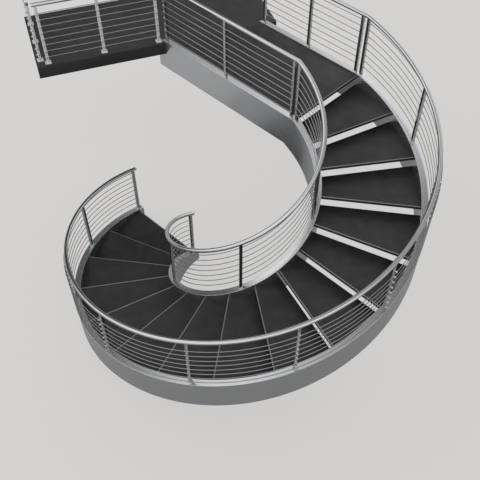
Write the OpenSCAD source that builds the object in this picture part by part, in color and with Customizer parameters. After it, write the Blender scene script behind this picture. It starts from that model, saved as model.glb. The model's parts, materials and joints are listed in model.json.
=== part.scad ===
// Curved open stair: two box stringers, open treads, a straight landing and an upper platform.
// Millimetres. The origin is the centre of the foot plate's underside, on the floor.
// +X runs to the right and +Y to the back as the stair is seen from its front, +Z is up.

/* [Flight] */
// Height of one rise
riser = 178; // [150:1:190]
// Number of treads below the landing
tread_count = 15; // [9:1:15]
// Turn from one nosing to the next, in degrees
tread_turn = 17.93; // [15:0.01:19]
// Plan direction of the first nosing, in degrees from +X
first_nosing_dir = 136.6; // [90:0.1:180]
// Radius of the treads' inner end
inner_radius = 1038; // [800:1:1200]
// Radius of the treads' outer end
outer_radius = 2286; // [2000:1:2500]

/* [Stringers] */
// Width of a stringer
stringer_width = 88; // [70:1:110]
// Depth of a stringer, square to its slope
stringer_depth = 464; // [380:1:520]
// Height of the stringers' top above the line of the nosings
stringer_rise = 22; // [5:1:40]
// Length of the inner stringer in front of the first nosing
inner_foot_lead = 62; // [50:1:120]
// Length of the outer stringer in front of the first nosing
outer_foot_lead = 88; // [60:1:160]

/* [Treads] */
// Thickness of a tread and of the landing deck
tread_thickness = 40; // [30:1:50]
// Length that a tread reaches behind the nosing above it
tread_lap = 30; // [25:1:40]
// Gap between the end of a tread and a stringer
tread_gap = 0.3; // [0.2:0.1:0.8]
// Width of the strip let into each nosing
nosing_width = 14; // [8:1:25]
// Depth of the strip let into each nosing
nosing_depth = 5; // [3:1:8]

/* [Handrail] */
// Diameter of the handrail
rail_diameter = 54; // [42:1:64]
// Height of the handrail's centre above the line of the nosings
rail_height = 896; // [850:1:1000]
// Length of handrail past an end post of the stair
rail_overhang = 60; // [45:1:70]
// Length of handrail past an end post of the platform
platform_overhang = 45; // [35:1:50]
// Width of a square post
post_width = 40; // [36:1:42]
// Bays of the outer balustrade
outer_bays = 9; // [6:1:9]
// Bays of the inner balustrade
inner_bays = 4; // [3:1:4]
// Distance of the inner flight's first post behind the first nosing
inner_first_post = 18; // [0:1:60]
// Distance of the outer flight's first post in front of the first nosing
outer_first_post = 15; // [0:1:40]
// Distance of the inner flight's last post in front of the landing nosing
inner_last_post = 32; // [30:1:70]
// Distance of the outer flight's last post in front of the landing nosing
outer_last_post = 22; // [20:1:40]
// Weld gap under an inner post, which the twist of the stringer's top needs
inner_seat = 0.8; // [0.7:0.1:1.2]
// Weld gap under an outer post of the flight
outer_seat = 0.3; // [0.2:0.1:0.5]
// Gap between the handrail and the saddle in a post's top
saddle_gap = 0.6; // [0.4:0.1:0.8]

/* [Rods] */
// Diameter of an infill rod
rod_diameter = 10; // [8:1:12]
// Rods in each bay
rod_count = 8; // [4:1:8]
// Distance between rods
rod_pitch = 96; // [80:1:97]
// Rods in each bay of the steeper inner flight
inner_rod_count = 7; // [4:1:7]
// Distance between the rods of the inner flight
inner_rod_pitch = 104; // [90:1:108]
// Height of the highest rod above a stringer
top_rod_height = 761; // [750:1:780]
// Height of the highest rod above the platform
top_platform_rod_height = 762; // [750:1:800]
// Distance of the outer rods from the middle of their posts, away from the steps
outer_rod_offset = 47; // [36:1:55]
// Distance of the inner rods from the middle of their posts, away from the steps
inner_rod_offset = 27; // [27:1:40]
// Diameter of a round rod holder
holder_diameter = 22; // [18:1:26]
// Length of a holder past the middle of its rod
holder_past_rod = 8; // [6:1:12]
// Gap between the end of a rod and its holder or post
rod_end_gap = 0.3; // [0.2:0.1:0.5]

/* [Landing] */
// Length of the landing's inner stringer, along its free face
landing_length = 2441; // [2200:1:2600]
// Distance of the inner landing's first post behind the landing nosing
inner_landing_post = 54; // [50:1:90]
// Distance of the outer landing's first post behind the landing nosing
outer_landing_post = 70; // [50:1:90]
// Distance of the landing's last posts behind the platform's front edge
landing_last_post = 30; // [0:1:36]
// Length of the landing's stringers behind the platform's front edge
landing_reach = 68; // [60:1:80]
// Length of the landing's stringers under the platform
landing_seat = 80; // [50:1:150]
// Gap between the platform and the sides of a stringer let into it
pocket_gap = 0.3; // [0.2:0.1:0.8]

/* [Platform] */
// Angle between the platform's front edge and the landing nosing
platform_skew = 26.4; // [15:0.1:35]
// Length of the platform's front edge to the left of the landing
platform_left = 1835; // [1500:1:2200]
// Length of the platform's front edge to the right of the landing
platform_right = 120; // [60:1:300]
// Depth of the platform
platform_depth = 1340; // [1300:1:1600]
// Thickness of the platform
platform_thickness = 180; // [120:1:220]
// Distance of the front posts behind the platform's front edge
front_post_setback = 80; // [60:1:100]
// Distance of the first front post from the platform's left edge
front_post_start = 165; // [150:1:240]
// Gap between the last front post's base flange and the landing's stringer
front_post_gap = 3.2; // [1:0.1:20]
// Distance of the side posts from the platform's left edge
side_post_setback = 68; // [60:1:75]
// Distance of the first side post behind the platform's front edge
side_post_start = 173; // [170:1:260]
// Distance between the side posts
side_post_pitch = 470; // [400:1:480]
// Side of a square base flange
platform_flange = 86; // [70:1:88]
// Thickness of a base flange
flange_thickness = 8; // [5:1:12]

/* [Foot plate] */
// Thickness of the foot plate
foot_plate_thickness = 12; // [8:1:20]
// Half of the foot plate's width along the walking line
foot_plate_half = 110; // [90:1:130]
// Diameter of an anchor hole
anchor_hole = 18; // [12:1:24]
// Diameter of each circle of anchor holes
anchor_circle = 140; // [110:1:150]
// Distance of an anchor circle's centre from the stringer
anchor_inset = 130; // [110:1:200]
// Position of the foot plate behind the first nosing, as a part of a tread
foot_plate_place = 0.5; // [0.3:0.05:0.7]

/* [Hidden] */
steel_grey = [0.50, 0.51, 0.52];
satin_steel = [0.66, 0.67, 0.68];
charcoal = [0.17, 0.17, 0.18];
strip_grey = [0.55, 0.56, 0.57];

front_posts = 3;
side_posts = 3;
anchor_count = 4;
steps_per_tread = 6;
rail_sides = 16;
rod_sides = 6;
holder_sides = 16;
rod_step_angle = 5;
reach = 1000;
holder_root = 1;
step_turn = tread_turn / steps_per_tread;

landing_dir = first_nosing_dir + tread_count * tread_turn;
landing_top = (tread_count + 1) * riser;
stringer_top = landing_top + stringer_rise;
rail_radius = rail_diameter / 2;
post_height = rail_height - stringer_rise;
low_rod_height = top_rod_height - (rod_count - 1) * rod_pitch;
inner_low_rod_height = top_rod_height - (inner_rod_count - 1) * inner_rod_pitch;
platform_rod_height = top_platform_rod_height - (rod_count - 1) * rod_pitch;
inner_line = inner_radius - stringer_width / 2;
outer_line = outer_radius + stringer_width / 2;
inner_rod_line = inner_line - inner_rod_offset;
outer_rod_line = outer_line + outer_rod_offset;
inner_face = inner_radius - stringer_width;
outer_face = outer_radius + stringer_width;
inner_slope = slope_at(inner_line);
outer_slope = slope_at(outer_line);
foot_radius = (inner_radius + outer_radius) / 2;
foot_dir = turn_at(foot_plate_place);
platform_right_end = (outer_face - inner_face) / cos(platform_skew) + platform_right;
side_post_line = side_post_setback - platform_left;
front_post_line = front_post_start - platform_left;
front_post_end = -landing_reach * tan(platform_skew) - front_post_gap - platform_flange / 2;
front_post_pitch = (front_post_end - front_post_line) / (front_posts - 1);
inner_places = post_places(inner_bays, inner_line, inner_first_post, inner_last_post);
outer_places = post_places(outer_bays, outer_line, -outer_first_post, outer_last_post);
inner_landing_places = landing_places(inner_line, inner_landing_post);
outer_landing_places = landing_places(outer_line, outer_landing_post);

// Plan point at a radius and a direction
function polar(r, a) = [r * cos(a), r * sin(a)];

// Plan direction at a place along the flight, counted in treads from the first nosing
function turn_at(s) = first_nosing_dir + s * tread_turn;

// Height of the line of the nosings at a place along the flight
function line_z(s) = (s + 1) * riser;

// Slope of the flight at a radius
function slope_at(r) = atan(riser / (r * tread_turn * PI / 180));

// Length along the flight, counted in treads, of an arc at a radius
function arc_treads(length, r) = length / r * 180 / PI / tread_turn;

// Places of the posts along the flight, from arcs behind the first and before the landing nosing
function post_places(bays, r, behind_first, before_last) =
    let (first = arc_treads(behind_first, r))
    let (last = tread_count - arc_treads(before_last, r))
    [for (i = [0:bays]) first + (last - first) * i / bays];

// Distance from the landing nosing to the platform at a distance from the stair's axis
function landing_end(n) = landing_length - (n - inner_face) * tan(platform_skew);

// Places of the landing's posts, measured from the landing nosing
function landing_places(n, first) =
    let (last = landing_end(n) + landing_last_post)
    [first, (first + last) / 2, last];

// Radius at a place along the flight of a circle that is made of straight steps
function on_step(r, s) =
    let (part = s * steps_per_tread - floor(s * steps_per_tread))
    r * cos(step_turn / 2) / cos((part - 0.5) * step_turn);

// Point at a distance behind a radial line, on the first straight step of a circle
function behind(r, a, distance) =
    polar(r - distance * tan(step_turn / 2), a) + distance * [-sin(a), cos(a)];

// Section of a round tube that climbs at a slope, cut by a plane that leans back by an angle
function tube_ring(r, a, z, slope, lean, radius, sides) =
    let (out = [cos(a), sin(a), 0])
    let (up = [sin(lean) * sin(a), -sin(lean) * cos(a), cos(lean)] / cos(slope - lean))
    [for (i = [0:sides - 1]) [each polar(r, a), z]
        + radius * (cos(i * 360 / sides) * out + sin(i * 360 / sides) * up)];

// Solid through rings that have the same number of points
module swept(rings) {
    m = len(rings[0]);
    n = len(rings);
    sides = [for (i = [0:n - 2], j = [0:m - 1], half = [0, 1])
        half == 0
            ? [i * m + j, i * m + (j + 1) % m, (i + 1) * m + (j + 1) % m]
            : [i * m + j, (i + 1) * m + (j + 1) % m, (i + 1) * m + j]];
    polyhedron(
        points = [for (r = rings) each r],
        faces = concat([[for (j = [m - 1:-1:0]) j]], sides, [[for (j = [0:m - 1]) (n - 1) * m + j]])
    );
}

// Frame whose origin is the stair's axis on the floor
module from_axis() {
    foot = polar(foot_radius, foot_dir);
    translate([-foot[0], -foot[1], 0])
        children();
}

// Landing's frame: X away from the stair's axis, Y along the landing, from its nosing
module on_landing(z) {
    from_axis()
        rotate([0, 0, landing_dir])
            translate([0, 0, z])
                children();
}

// Platform's frame: X along its front edge, Y into the platform
module on_platform(z) {
    on_landing(z)
        translate([inner_face, landing_length, 0])
            rotate([0, 0, -platform_skew])
                children();
}

// Curved stringer between two radii, cut off level at the floor
module curved_stringer(r_in, r_out, slope, lead) {
    drop = stringer_depth / cos(slope);
    floor_end = (drop - stringer_rise) / riser - 1;
    count = steps_per_tread * tread_count;
    places = concat(
        [-lead],
        [for (i = [0:count]) if (i / steps_per_tread < floor_end) i / steps_per_tread],
        [floor_end],
        [for (i = [0:count]) if (i / steps_per_tread > floor_end) i / steps_per_tread]
    );
    swept([for (s = places)
        let (a = turn_at(s))
        let (top = line_z(s) + stringer_rise)
        let (bottom = max(0, top - drop))
        let (near = polar(on_step(r_in, s), a))
        let (away = polar(on_step(r_out, s), a))
        [[each near, bottom], [each away, bottom], [each away, top], [each near, top]]]);
}

// Straight stringer of the landing, mitred to the curved one, let into the platform and carrying it
module straight_stringer(n_in, slope) {
    mitre = stringer_depth * tan(slope / 2);
    drop = stringer_depth / cos(slope);
    far = landing_length + reach;
    bottom = -stringer_depth;
    difference() {
        on_landing(stringer_top)
            translate([n_in, 0, 0])
                rotate([90, 0, 90])
                    linear_extrude(height = stringer_width)
                        polygon([[0, 0], [far, 0], [far, bottom], [mitre, bottom], [0, -drop]]);
        on_platform(landing_top - platform_thickness)
            translate([-reach, landing_reach, 0])
                cube([5 * reach, 2 * reach, reach]);
        on_platform(0)
            translate([-reach, landing_reach + landing_seat, 0])
                cube([5 * reach, 2 * reach, 5 * reach]);
    }
}

// Plan between the curved stringers, from one nosing to a line that lies behind another
module between_stringers(first, last, lap) {
    near = inner_radius + tread_gap;
    away = outer_radius - tread_gap;
    steps = (last - first) * steps_per_tread;
    turns = [for (i = [0:steps]) turn_at(first + i / steps_per_tread)];
    polygon(concat(
        [for (i = [0:steps]) polar(away, turns[i])],
        [behind(away, turns[steps], lap), behind(near, turns[steps], lap)],
        [for (i = [steps:-1:0]) polar(near, turns[i])]
    ));
}

module tread(i) {
    s = i - 1;
    color(charcoal)
        from_axis()
            translate([0, 0, line_z(s) - tread_thickness])
                difference() {
                    linear_extrude(height = tread_thickness)
                        between_stringers(s, s + 1, tread_lap);
                    translate([0, 0, tread_thickness - nosing_depth])
                        linear_extrude(height = 2 * nosing_depth)
                            rotate([0, 0, turn_at(s)])
                                translate([0, -nosing_width])
                                    square([outer_radius + reach, 2 * nosing_width]);
                }
}

module landing_deck() {
    near = inner_radius + tread_gap;
    far = outer_radius - tread_gap;
    color(charcoal)
        on_landing(landing_top - tread_thickness)
            difference() {
                linear_extrude(height = tread_thickness)
                    polygon([[near, 0], [far, 0], [far, landing_end(far)], [near, landing_end(near)]]);
                translate([0, -nosing_width, tread_thickness - nosing_depth])
                    cube([outer_radius + reach, 2 * nosing_width, 2 * nosing_depth]);
            }
}

module nosing_strips() {
    color(strip_grey)
        from_axis() {
            for (i = [0:tread_count - 1])
                translate([0, 0, line_z(i) - nosing_depth])
                    linear_extrude(height = nosing_depth)
                        between_stringers(i, i, nosing_width);
            translate([0, 0, landing_top - nosing_depth])
                rotate([0, 0, landing_dir])
                    translate([inner_radius + tread_gap, 0, 0])
                        cube([outer_radius - inner_radius - 2 * tread_gap, nosing_width, nosing_depth]);
        }
}

module inner_stringer() {
    color(steel_grey)
        from_axis()
            curved_stringer(inner_face, inner_radius, inner_slope, arc_treads(inner_foot_lead, inner_line));
}

module outer_stringer() {
    color(steel_grey)
        from_axis()
            curved_stringer(outer_radius, outer_face, outer_slope, arc_treads(outer_foot_lead, outer_line));
}

module inner_landing_stringer() {
    color(steel_grey)
        straight_stringer(inner_face, inner_slope);
}

module outer_landing_stringer() {
    color(steel_grey)
        straight_stringer(outer_radius, outer_slope);
}

// Room in the platform for a landing stringer
module stringer_pocket(n_in) {
    intersection() {
        on_landing(0)
            translate([n_in - pocket_gap, 0, 0])
                cube([stringer_width + 2 * pocket_gap, landing_length + reach, 5 * reach]);
        on_platform(0)
            translate([-reach, -reach, 0])
                cube([5 * reach, reach + landing_reach + pocket_gap, 5 * reach]);
    }
}

module platform_slab() {
    color(charcoal)
        difference() {
            on_platform(landing_top - platform_thickness)
                translate([-platform_left, 0, 0])
                    cube([platform_left + platform_right_end, platform_depth, platform_thickness]);
            stringer_pocket(inner_face);
            stringer_pocket(outer_radius);
        }
}

// Plate between the stringers' feet, with a circle of anchor holes near each stringer
module foot_plate() {
    color(steel_grey)
        linear_extrude(height = foot_plate_thickness)
            difference() {
                intersection() {
                    from_axis()
                        between_stringers(-1, 2, tread_lap);
                    rotate([0, 0, foot_dir])
                        square([outer_radius, 2 * foot_plate_half], center = true);
                }
                for (side = [-1, 1], i = [0:anchor_count - 1])
                    translate(polar(side * ((outer_radius - inner_radius) / 2 - anchor_inset), foot_dir))
                        translate(polar(anchor_circle / 2, foot_dir + (i + 0.5) * 360 / anchor_count))
                            circle(d = anchor_hole, $fn = 48);
            }
}

// Post that stands on a surface of a given slope, with X square to the handrail and Y along it
module post(slope, gap, height) {
    difference() {
        translate([-post_width / 2, -post_width / 2, -reach])
            cube([post_width, post_width, reach + height - rail_radius / 2]);
        rotate([slope, 0, 0])
            translate([-reach, -reach, gap - 2 * reach])
                cube([2 * reach, 2 * reach, 2 * reach]);
        translate([0, 0, height])
            rotate([90 + slope, 0, 0])
                cylinder(r = rail_radius + saddle_gap, h = 4 * post_width, center = true, $fn = 64);
    }
}

// Post that stands on the platform on a square base flange
module flanged_post() {
    post(0, flange_thickness / 2, rail_height);
    translate([-platform_flange / 2, -platform_flange / 2, 0])
        cube([platform_flange, platform_flange, flange_thickness]);
}

// Holders on a post's free face, one for each rod at an offset from the post's middle
module holders(offset, low, pitch, count) {
    start = post_width / 2 - holder_root;
    for (k = [0:count - 1])
        translate([sign(offset) * start, 0, low + k * pitch])
            rotate([0, sign(offset) * 90, 0])
                cylinder(d = holder_diameter, h = abs(offset) + holder_past_rod - start, $fn = holder_sides);
}

module flight_posts(places, r, slope, gap, offset, low, pitch, count) {
    color(satin_steel)
        from_axis()
            for (s = places)
                rotate([0, 0, turn_at(s)])
                    translate([r, 0, line_z(s) + stringer_rise]) {
                        post(slope, gap, post_height);
                        holders(offset, low, pitch, count);
                    }
}

module inner_posts() {
    flight_posts(inner_places, inner_line, inner_slope, inner_seat,
        -inner_rod_offset, inner_low_rod_height, inner_rod_pitch, inner_rod_count);
}

module outer_posts() {
    flight_posts(outer_places, outer_line, outer_slope, outer_seat,
        outer_rod_offset, low_rod_height, rod_pitch, rod_count);
}

module landing_posts() {
    color(satin_steel)
        on_landing(stringer_top) {
            for (t = inner_landing_places)
                translate([inner_line, t, 0]) {
                    post(0, 0, post_height);
                    holders(-inner_rod_offset, low_rod_height, rod_pitch, rod_count);
                }
            for (t = outer_landing_places)
                translate([outer_line, t, 0]) {
                    post(0, 0, post_height);
                    holders(outer_rod_offset, low_rod_height, rod_pitch, rod_count);
                }
        }
}

module platform_posts() {
    color(satin_steel)
        on_platform(landing_top) {
            for (i = [0:front_posts - 1])
                translate([front_post_line + i * front_post_pitch, front_post_setback, 0])
                    rotate([0, 0, 90])
                        flanged_post();
            for (i = [0:side_posts - 1])
                translate([side_post_line, side_post_start + i * side_post_pitch, 0])
                    flanged_post();
        }
}

// Handrail over one stringer: a helix over the flight and a straight tube over the landing
module handrail(r, slope, first_post, last_post) {
    first = first_post - arc_treads(rail_overhang, r);
    count = steps_per_tread * tread_count;
    top = landing_top + rail_height;
    last = last_post + rail_overhang;
    flight = [for (i = [0:count - 1])
        let (s = first + (tread_count - first) * i / count)
        tube_ring(r, turn_at(s), line_z(s) + rail_height, slope, 0, rail_radius, rail_sides)];
    corner = tube_ring(r, landing_dir, top, slope, slope / 2, rail_radius, rail_sides);
    end = [for (v = tube_ring(r, landing_dir, top, 0, 0, rail_radius, rail_sides))
        v + last * [-sin(landing_dir), cos(landing_dir), 0]];
    color(satin_steel)
        from_axis()
            swept(concat(flight, [corner, end]));
}

module inner_handrail() {
    handrail(inner_line, inner_slope, inner_places[0], inner_landing_places[2]);
}

module outer_handrail() {
    handrail(outer_line, outer_slope, outer_places[0], outer_landing_places[2]);
}

// Straight tube along Y
module tube(length, diameter) {
    rotate([-90, 0, 0])
        cylinder(d = diameter, h = length, $fn = 48);
}

module platform_handrails() {
    front_run = (front_posts - 1) * front_post_pitch + 2 * platform_overhang;
    side_run = (side_posts - 1) * side_post_pitch + 2 * platform_overhang;
    color(satin_steel)
        on_platform(landing_top + rail_height) {
            translate([front_post_line - platform_overhang, front_post_setback, 0])
                rotate([0, 0, -90])
                    tube(front_run, rail_diameter);
            translate([side_post_line, side_post_start - platform_overhang, 0])
                tube(side_run, rail_diameter);
        }
}

// Rods of one bay of the flight, from holder to holder
module flight_rods(bay, places, r, slope, low, pitch, rods) {
    end = arc_treads(holder_diameter / 2 + rod_end_gap, r);
    first = places[bay - 1] + end;
    last = places[bay] - end;
    count = ceil((last - first) * tread_turn / rod_step_angle);
    color(satin_steel)
        from_axis()
            for (k = [0:rods - 1])
                swept([for (i = [0:count])
                    let (s = first + (last - first) * i / count)
                    let (z = line_z(s) + stringer_rise + low + k * pitch)
                    tube_ring(r, turn_at(s), z, slope, 0, rod_diameter / 2, rod_sides)]);
}

module inner_rods(bay) {
    flight_rods(bay, inner_places, inner_rod_line, slope_at(inner_rod_line),
        inner_low_rod_height, inner_rod_pitch, inner_rod_count);
}

module outer_rods(bay) {
    flight_rods(bay, outer_places, outer_rod_line, slope_at(outer_rod_line),
        low_rod_height, rod_pitch, rod_count);
}

// Rods in a row along Y, between posts or holders of a given width
module straight_rods(places, height, width) {
    for (i = [0:len(places) - 2], k = [0:rod_count - 1])
        translate([0, places[i] + width / 2 + rod_end_gap, height + k * rod_pitch])
            tube(places[i + 1] - places[i] - width - 2 * rod_end_gap, rod_diameter);
}

module inner_landing_rods() {
    color(satin_steel)
        on_landing(stringer_top)
            translate([inner_rod_line, 0, 0])
                straight_rods(inner_landing_places, low_rod_height, holder_diameter);
}

module outer_landing_rods() {
    color(satin_steel)
        on_landing(stringer_top)
            translate([outer_rod_line, 0, 0])
                straight_rods(outer_landing_places, low_rod_height, holder_diameter);
}

module front_platform_rods() {
    color(satin_steel)
        on_platform(landing_top)
            translate([front_post_line, front_post_setback, 0])
                rotate([0, 0, -90])
                    straight_rods([for (i = [0:front_posts - 1]) i * front_post_pitch],
                        platform_rod_height, post_width);
}

module side_platform_rods() {
    color(satin_steel)
        on_platform(landing_top)
            translate([side_post_line, side_post_start, 0])
                straight_rods([for (i = [0:side_posts - 1]) i * side_post_pitch],
                    platform_rod_height, post_width);
}

foot_plate();
inner_stringer();
outer_stringer();
inner_landing_stringer();
outer_landing_stringer();
for (i = [1:tread_count]) tread(i);
landing_deck();
nosing_strips();
platform_slab();
inner_posts();
outer_posts();
landing_posts();
platform_posts();
inner_handrail();
outer_handrail();
platform_handrails();
for (i = [1:inner_bays]) inner_rods(i);
for (i = [1:outer_bays]) outer_rods(i);
inner_landing_rods();
outer_landing_rods();
front_platform_rods();
side_platform_rods();
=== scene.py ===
"""Finished pieces, surfaces and stage of a curved open stair, round its construction model."""

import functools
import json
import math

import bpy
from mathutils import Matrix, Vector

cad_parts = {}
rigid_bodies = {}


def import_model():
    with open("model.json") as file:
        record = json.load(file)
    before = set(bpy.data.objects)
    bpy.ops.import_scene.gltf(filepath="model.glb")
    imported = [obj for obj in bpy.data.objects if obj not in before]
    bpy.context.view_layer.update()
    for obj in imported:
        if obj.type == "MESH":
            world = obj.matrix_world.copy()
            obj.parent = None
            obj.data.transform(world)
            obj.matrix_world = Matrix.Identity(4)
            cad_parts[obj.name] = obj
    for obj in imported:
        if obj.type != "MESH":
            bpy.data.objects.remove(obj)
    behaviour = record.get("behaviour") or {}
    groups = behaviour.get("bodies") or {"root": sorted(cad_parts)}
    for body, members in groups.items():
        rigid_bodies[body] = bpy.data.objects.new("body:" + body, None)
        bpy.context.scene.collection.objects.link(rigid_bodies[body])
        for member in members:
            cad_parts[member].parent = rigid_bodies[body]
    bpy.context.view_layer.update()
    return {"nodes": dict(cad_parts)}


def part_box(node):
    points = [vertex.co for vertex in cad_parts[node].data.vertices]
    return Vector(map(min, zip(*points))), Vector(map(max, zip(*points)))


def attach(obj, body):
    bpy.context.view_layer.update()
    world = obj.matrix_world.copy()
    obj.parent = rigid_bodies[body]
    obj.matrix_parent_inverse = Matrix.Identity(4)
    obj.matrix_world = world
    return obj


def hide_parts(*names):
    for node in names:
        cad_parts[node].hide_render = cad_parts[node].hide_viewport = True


bl_info = {
    "name": "Curved open stair",
    "version": (1, 0, 0),
    "blender": (4, 5, 0),
    "location": "View3D > Sidebar > Stair",
    "description": "Builds the finished pieces, surfaces and stage of a curved open stair",
    "category": "Object",
}

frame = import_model()

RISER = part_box("tread_1")[1].z
TREADS = sum(name.startswith("tread_") for name in frame["nodes"])
OUTER_BAYS = sum(name.startswith("outer_rods_") for name in frame["nodes"])
INNER_BAYS = sum(name.startswith("inner_rods_") for name in frame["nodes"])
FOOT_PLATE_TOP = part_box("foot_plate")[1].z
SIDES = {"inner": -1, "outer": 1}
QUARTER = math.pi / 2
EPS = 1e-4  # metres within which two places are the same
FACING = 0.99  # how well the normal of a face has to match a direction that it faces

# Straight sides of round sections, and degrees of turn that one facet of a swept piece takes.
RAIL_SIDES = 32
ROD_SIDES = 12
FITTING_SIDES = 16
COLLAR_SIDES = 12
STRINGER_FACET = 2.0
FINE_FACET = 1.5
ROD_FACET = 2.5

# Parts of a fitting's own radius or height.
TUBE_EASE = 0.125
HOLDER_EASE = 0.35
BOLT_EASE = 0.4
SOCKET_RIM = 0.28
SOCKET_DEPTH = 0.5

# The anchor's parts, from the foot plate up, with the sides of each.
ANCHOR_SIDES = {"washer": 20, "nut": 6, "stud": 16}


def length(name, description, default, low=0.0):
    """A size in metres that the panel shows."""
    return bpy.props.FloatProperty(
        name=name, description=description, default=default, min=low, unit="LENGTH", precision=4)


def angle(name, description, degrees):
    """An angle that the panel shows in degrees."""
    return bpy.props.FloatProperty(
        name=name, description=description, default=math.radians(degrees), subtype="ANGLE")


def count(name, description, default):
    """A number of like pieces."""
    return bpy.props.IntProperty(name=name, description=description, default=default, min=1)


def share(name, description, default):
    """A plain factor."""
    return bpy.props.FloatProperty(name=name, description=description, default=default, min=0.0)


def spot(name, description, default):
    """A place in metres."""
    return bpy.props.FloatVectorProperty(
        name=name, description=description, default=default, subtype="TRANSLATION", unit="LENGTH")


def colour(name, description, default):
    """A surface colour, in linear light."""
    return bpy.props.FloatVectorProperty(
        name=name, description=description, default=default, min=0.0, max=1.0, subtype="COLOR")


class StairFlight(bpy.types.PropertyGroup):
    """Sizes of the curved flight."""

    riser: length("Riser", "Height of one rise", RISER)
    tread_count: count("Treads", "Number of treads below the landing", TREADS)
    tread_turn: angle("Tread turn", "Turn from one nosing to the next", 17.93)
    first_nosing: angle("First nosing", "Plan direction of the first nosing, from +X", 136.6)
    inner_radius: length("Inner radius", "Radius of the treads' inner end", 1.038)
    outer_radius: length("Outer radius", "Radius of the treads' outer end", 2.286)
    foot_place: share("Foot place", "Place of the foot plate behind the first nosing, in treads",
                      0.5)


class StairStringers(bpy.types.PropertyGroup):
    """Sizes of the stringers."""

    width: length("Width", "Width of a stringer", 0.088)
    depth: length("Depth", "Depth of a stringer, square to its slope", 0.464)
    rise: length("Rise", "Height of the top above the line of the nosings", 0.022)
    inner_lead: length("Inner lead", "Length of the inner one in front of the first nosing", 0.062)
    outer_lead: length("Outer lead", "Length of the outer one in front of the first nosing", 0.088)
    edge: length("Edge", "Rounding of the long edges", 0.003)


class StairTreads(bpy.types.PropertyGroup):
    """Sizes of the treads and their nosings."""

    thickness: length("Thickness", "Thickness of a tread and of the landing deck", 0.040)
    lap: length("Lap", "Length that a tread reaches behind the nosing above it", 0.030)
    gap: length("Gap", "Gap between a tread's end and a stringer", 0.0003)
    edge: length("Edge", "Rounding of a tread's edges", 0.0015)
    nosing_width: length("Nosing width", "Width of the strip let into each nosing", 0.014)
    nosing_depth: length("Nosing depth", "Depth of the strip let into each nosing", 0.005)
    groove: length("Groove", "Width and depth of the two grooves along a strip", 0.0012)


class StairRails(bpy.types.PropertyGroup):
    """Sizes of the handrails and the rods under them."""

    rail_diameter: length("Handrail", "Diameter of the handrail", 0.054)
    rail_height: length("Handrail height", "Height of its centre above the line of the nosings",
                        0.896)
    overhang: length("Overhang", "Length of handrail past an end post's centre", 0.060)
    rod_diameter: length("Rod", "Diameter of an infill rod", 0.010)
    rod_count: count("Rods", "Rods in each bay", 8)
    rod_pitch: length("Rod pitch", "Distance between rods", 0.096)
    inner_rod_count: count("Inner rods", "Rods in each bay of the inner flight", 7)
    inner_rod_pitch: length("Inner rod pitch", "Distance between the rods of the inner flight",
                            0.104)
    top_rod: length("Highest rod", "Its height above a stringer", 0.761)
    top_platform_rod: length("Highest platform rod", "Its height above the platform", 0.762)
    outer_offset: length("Outer offset", "Distance of the outer rods outside their posts' middle",
                         0.047)
    inner_offset: length("Inner offset", "The same for the inner rods, towards the well", 0.027)
    holder_radius: length("Holder", "Radius of a round rod holder", 0.011)
    holder_past: length("Holder past rod", "Length of a holder past the middle of its rod", 0.008)


class StairPosts(bpy.types.PropertyGroup):
    """Sizes and places of the posts."""

    width: length("Width", "Width of a square post", 0.040)
    corner: length("Corner", "Rounding of a post's corners", 0.004)
    outer_bays: count("Outer bays", "Bays of the outer balustrade", OUTER_BAYS)
    inner_bays: count("Inner bays", "Bays of the inner balustrade", INNER_BAYS)
    inner_first: length("Inner first", "Distance of the first inner post behind the first nosing",
                        0.018)
    outer_first: length("Outer first", "The same for the first outer post, which is in front",
                        -0.015, -0.05)
    inner_last: length("Inner last", "Distance of the inner flight's last post before the landing",
                       0.032)
    outer_last: length("Outer last", "Distance of the outer flight's last post before the landing",
                       0.022)
    inner_seat: length("Inner seat", "Weld gap under an inner post", 0.0008)
    outer_seat: length("Outer seat", "Weld gap under an outer post of the flight", 0.0003)
    knob_length: length("Knob length", "Length of the round fittings on the platform's posts",
                        0.016)
    collar_radius: length("Collar", "Radius of the collars where a platform post holds a rod",
                          0.008)
    collar_length: length("Collar length", "Length of such a collar", 0.010)
    bolt_radius: length("Bolt", "Radius of a flange bolt's head", 0.0075)
    bolt_height: length("Bolt height", "Height of its head", 0.005)
    flange_edge: length("Flange edge", "Rounding of a base flange's edges", 0.0008)


class StairLanding(bpy.types.PropertyGroup):
    """Sizes of the straight landing."""

    run: length("Length", "Length of the landing's inner stringer", 2.441)
    inner_post: length("Inner post", "Distance of the first inner post behind the landing nosing",
                       0.054)
    outer_post: length("Outer post", "Distance of the first outer post behind the landing nosing",
                       0.070)
    last_post: length("Last posts", "Their distance behind the platform's front edge", 0.030)
    reach: length("Reach", "Length of the stringers behind the platform's front edge", 0.068)
    seat: length("Seat", "Length of the stringers under the platform", 0.080)
    pocket_gap: length("Pocket gap", "Gap between the platform and a stringer let into it", 0.0003)


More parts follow.
